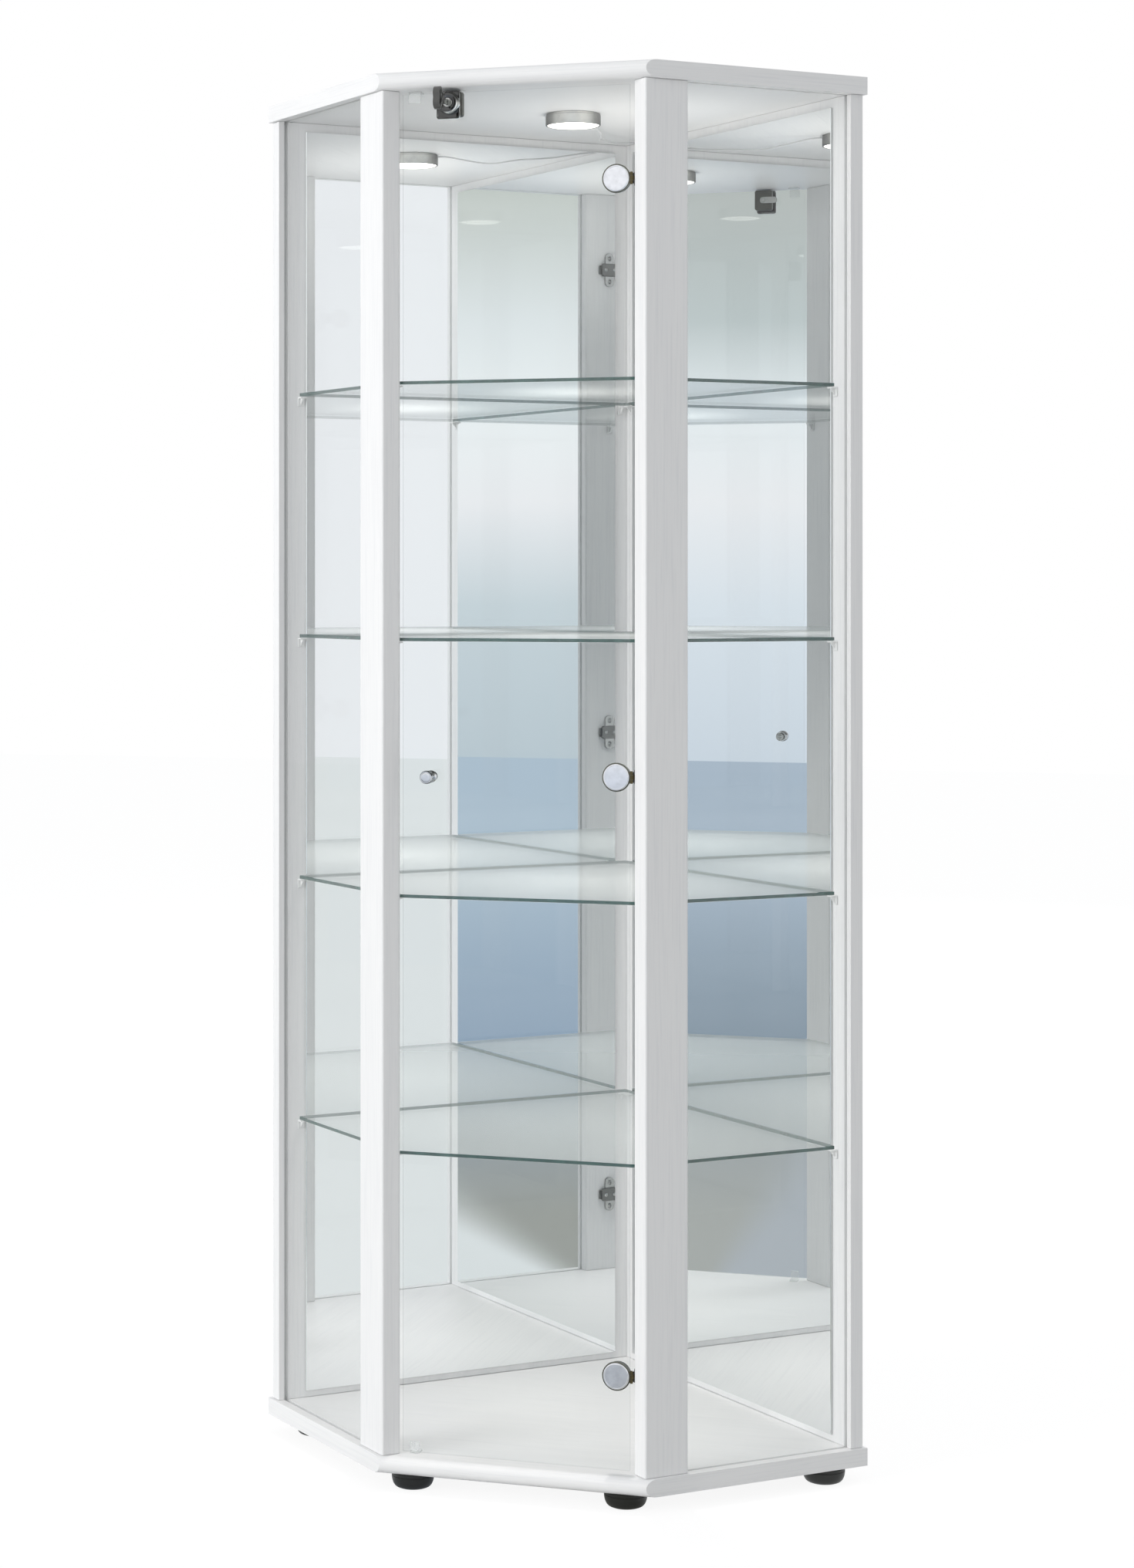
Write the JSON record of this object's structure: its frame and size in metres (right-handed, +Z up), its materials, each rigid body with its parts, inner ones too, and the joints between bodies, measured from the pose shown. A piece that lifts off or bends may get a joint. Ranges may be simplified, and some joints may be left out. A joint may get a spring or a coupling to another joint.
{
  "type": "corner curio cabinet",
  "caption": "Tall free-standing corner display cabinet with mirrored back, glass sides and shelves, a lockable glass door on cup hinges, and a lamp under the top.",
  "frame": {"origin": "centre of the bounding box on the floor plane, under the feet", "axes": "+Z up, -Y towards the room through the door, +X to the viewer's right; the corner of the room is at +Y"},
  "size_m": [0.799, 0.6652, 1.76],
  "materials": {
    "white_board": "white melamine with a fine ash grain, satin",
    "mirror_glass": "silvered float glass",
    "clear_glass": "clear float glass, polished edges",
    "shelf_glass": "clear float glass with dark green edges",
    "black_plastic": "moulded, satin",
    "clear_plastic": "clear to milky moulded plastic",
    "hinge_cap_metal": "silver white satin cap with a darker rim",
    "hinge_arm_brass": "dark bronzed",
    "chrome": "polished",
    "lamp_grey": "satin grey",
    "lamp_light": "frosted warm white lens",
    "lead_grey": "matte PVC sheath"
  },
  "bodies": {
    "cabinet": {"top_panel": "white_board", "base_panel": "white_board", "left_post": "white_board", "right_post": "white_board", "left_back_panel": "white_board", "right_back_panel": "white_board", "left_mirror": "mirror_glass", "right_mirror": "mirror_glass", "left_side_glass": "clear_glass", "right_side_glass": "clear_glass", "foot_rear": "black_plastic", "foot_left_wall": "black_plastic", "foot_right_wall": "black_plastic", "foot_front_left": "black_plastic", "foot_front_right": "black_plastic", "shelf_1": "shelf_glass", "shelf_2": "shelf_glass", "shelf_3": "shelf_glass", "shelf_4": "shelf_glass", "shelf_support_1_left_rear": "clear_plastic", "shelf_support_1_left_end": "clear_plastic", "shelf_support_1_left_post": "clear_plastic", "shelf_support_1_right_rear": "clear_plastic", "shelf_support_1_right_end": "clear_plastic", "shelf_support_1_right_post": "clear_plastic", "shelf_support_2_left_rear": "clear_plastic", "shelf_support_2_left_end": "clear_plastic", "shelf_support_2_left_post": "clear_plastic", "shelf_support_2_right_rear": "clear_plastic", "shelf_support_2_right_end": "clear_plastic", "shelf_support_2_right_post": "clear_plastic", "shelf_support_3_left_rear": "clear_plastic", "shelf_support_3_left_end": "clear_plastic", "shelf_support_3_left_post": "clear_plastic", "shelf_support_3_right_rear": "clear_plastic", "shelf_support_3_right_end": "clear_plastic", "shelf_support_3_right_post": "clear_plastic", "shelf_support_4_left_rear": "clear_plastic", "shelf_support_4_left_end": "clear_plastic", "shelf_support_4_left_post": "clear_plastic", "shelf_support_4_right_rear": "clear_plastic", "shelf_support_4_right_end": "clear_plastic", "shelf_support_4_right_post": "clear_plastic", "hinge_plate_bottom": "hinge_arm_brass", "hinge_plate_middle": "hinge_arm_brass", "hinge_plate_top": "hinge_arm_brass", "door_stop_top": "clear_plastic", "door_stop_bottom": "clear_plastic", "lamp_housing": "lamp_grey", "lamp_lens": "lamp_light", "lamp_lead": "lead_grey"},
    "door": {"door_glass": "clear_glass", "hinge_cup_bottom": "hinge_cap_metal", "hinge_cup_middle": "hinge_cap_metal", "hinge_cup_top": "hinge_cap_metal", "door_knob": "chrome", "lock_housing": "chrome"},
    "lock_rotor": {"lock_plug": "chrome", "lock_key": "black_plastic", "lock_cam": "chrome"}
  },
  "joints": [
    {"name": "door_hinge", "type": "hinge", "parent": "cabinet", "child": "door", "pos_m": [0.14602, -0.27475, 0.8895], "axis": [0, 0, 1], "range_deg": [0, 100]},
    {"name": "lock_turn", "type": "hinge", "parent": "door", "child": "lock_rotor", "pos_m": [-0.08502, -0.27, 1.7203], "axis": [0, 1, 0], "range_deg": [0, 90]}
  ]
}
